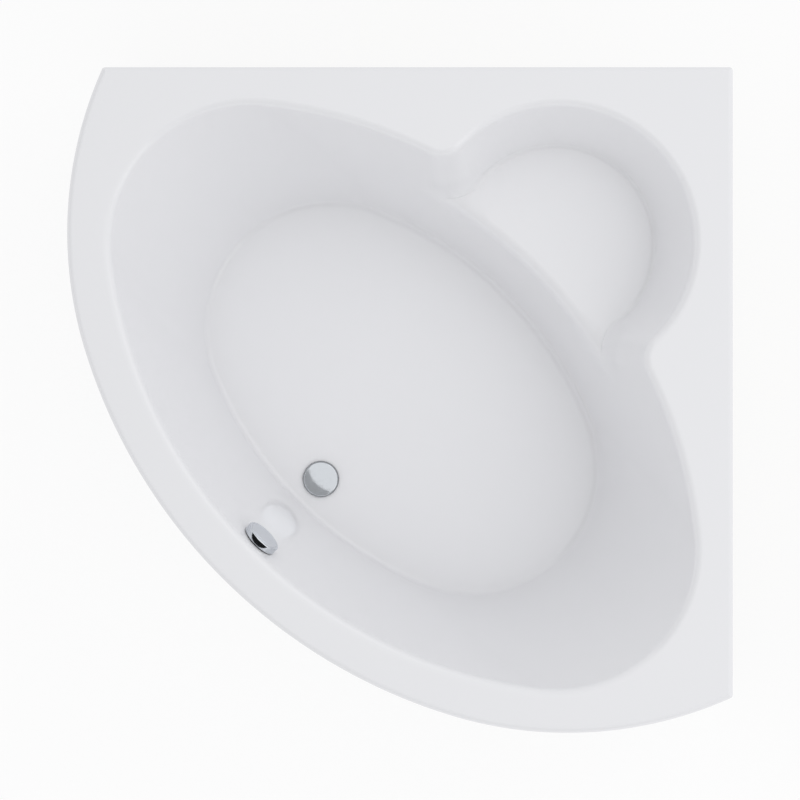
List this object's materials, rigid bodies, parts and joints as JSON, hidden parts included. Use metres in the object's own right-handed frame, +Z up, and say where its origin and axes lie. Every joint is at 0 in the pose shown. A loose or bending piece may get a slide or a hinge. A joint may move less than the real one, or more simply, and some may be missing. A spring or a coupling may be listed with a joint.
{
  "type": "corner bathtub",
  "caption": "Corner bathtub with a bowed front, a basin with sloping ends, a round corner seat, a pop-up waste with a turning overflow knob, and a cradle on adjustable feet.",
  "frame": {"origin": "middle of the square that the tub fills, on the floor under its feet", "axes": "+Z up; the straight sides stand against walls at +X and +Y and meet at the wall corner; the bowed front faces -X and -Y, with the line of symmetry along the diagonal between them"},
  "size_m": [1.4, 1.4, 0.62],
  "materials": {
    "acrylic": "polished sheet acrylic",
    "timber": "sawn and pressed board",
    "galvanised_steel": "galvanised",
    "zinc_plated_steel": "bright zinc",
    "stainless_steel": "drawn",
    "chrome": "polished plating",
    "black_plastic": "moulded",
    "white_plastic": "moulded",
    "hose_plastic": "ribbed, moulded",
    "cable_sheath": "extruded",
    "rubber": "moulded"
  },
  "bodies": {
    "tub": {"base_board": "timber", "bracket_screws": "zinc_plated_steel", "cable_glands": "white_plastic", "cradle_screws": "zinc_plated_steel", "cross_channel": "galvanised_steel", "foot_nuts": "zinc_plated_steel", "front_channel_left": "galvanised_steel", "front_channel_right": "galvanised_steel", "hose_clips": "stainless_steel", "lever_pin": "zinc_plated_steel", "outlet_nut": "white_plastic", "outlet_pipe": "white_plastic", "overflow_body": "white_plastic", "overflow_gaskets": "rubber", "overflow_hose": "hose_plastic", "overflow_plate": "chrome", "panel_catches": "galvanised_steel", "panel_clips": "galvanised_steel", "post_corner": "galvanised_steel", "post_front_left": "galvanised_steel", "post_front_right": "galvanised_steel", "post_left": "galvanised_steel", "post_right": "galvanised_steel", "pull_cable": "cable_sheath", "rear_channel": "galvanised_steel", "rim_blocks": "timber", "seat_board": "timber", "trap_body": "white_plastic", "trap_inlet_nut": "white_plastic", "trap_seal": "rubber", "tub_shell": "acrylic", "wall_batten_rear": "timber", "wall_batten_right": "timber", "wall_brackets": "galvanised_steel", "waste_body": "white_plastic", "waste_flange": "chrome", "waste_gaskets": "rubber"},
    "knob": {"overflow_knob": "chrome", "knob_spindle": "stainless_steel", "cable_crank": "white_plastic"},
    "plug": {"plug_cap": "chrome", "plug_seal": "rubber", "plug_stem": "stainless_steel"},
    "lever": {"lift_lever": "white_plastic"},
    "panel": {"front_panel": "acrylic"},
    "cleaning_cup": {"trap_cup": "white_plastic"},
    "foot_1": {"foot_pad_1": "black_plastic", "foot_stud_1": "zinc_plated_steel"},
    "foot_2": {"foot_pad_2": "black_plastic", "foot_stud_2": "zinc_plated_steel"},
    "foot_3": {"foot_pad_3": "black_plastic", "foot_stud_3": "zinc_plated_steel"},
    "foot_4": {"foot_pad_4": "black_plastic", "foot_stud_4": "zinc_plated_steel"},
    "foot_5": {"foot_pad_5": "black_plastic", "foot_stud_5": "zinc_plated_steel"}
  },
  "joints": [
    {"name": "knob_turn", "type": "hinge", "parent": "tub", "child": "knob", "pos_m": [-0.29906, -0.29906, 0.558], "axis": [-0.6782, -0.6782, -0.2832], "range_deg": [0, 90]},
    {"name": "plug_lift", "type": "slide", "parent": "tub", "child": "plug", "axis": [0, 0, 1], "range_m": [0, 0.01]},
    {"name": "lever_swing", "type": "hinge", "parent": "tub", "child": "lever", "pos_m": [-0.18557, -0.16408, 0.1642], "axis": [-0.7071, -0.7071, 0], "range_deg": [0, 36.42]},
    {"name": "panel_off", "type": "slide", "parent": "tub", "child": "panel", "axis": [-0.7071, -0.7071, 0], "range_m": [0, 0.15]},
    {"name": "cup_unscrew", "type": "hinge", "parent": "tub", "child": "cleaning_cup", "pos_m": [-0.17482, -0.17482, 0.03], "axis": [0, 0, 1], "continuous": true},
    {"name": "foot_1_height", "type": "slide", "parent": "tub", "child": "foot_1", "axis": [0, 0, 1], "range_m": [-0.015, 0.015]},
    {"name": "foot_2_height", "type": "slide", "parent": "tub", "child": "foot_2", "axis": [0, 0, 1], "range_m": [-0.015, 0.015]},
    {"name": "foot_3_height", "type": "slide", "parent": "tub", "child": "foot_3", "axis": [0, 0, 1], "range_m": [-0.015, 0.015]},
    {"name": "foot_4_height", "type": "slide", "parent": "tub", "child": "foot_4", "axis": [0, 0, 1], "range_m": [-0.015, 0.015]},
    {"name": "foot_5_height", "type": "slide", "parent": "tub", "child": "foot_5", "axis": [0, 0, 1], "range_m": [-0.015, 0.015]}
  ],
  "couplings": [
    {"joint": "plug_lift", "follows": "knob_turn", "m_per_rad": 0.0063662},
    {"joint": "lever_swing", "follows": "knob_turn", "ratio": 0.40467}
  ]
}
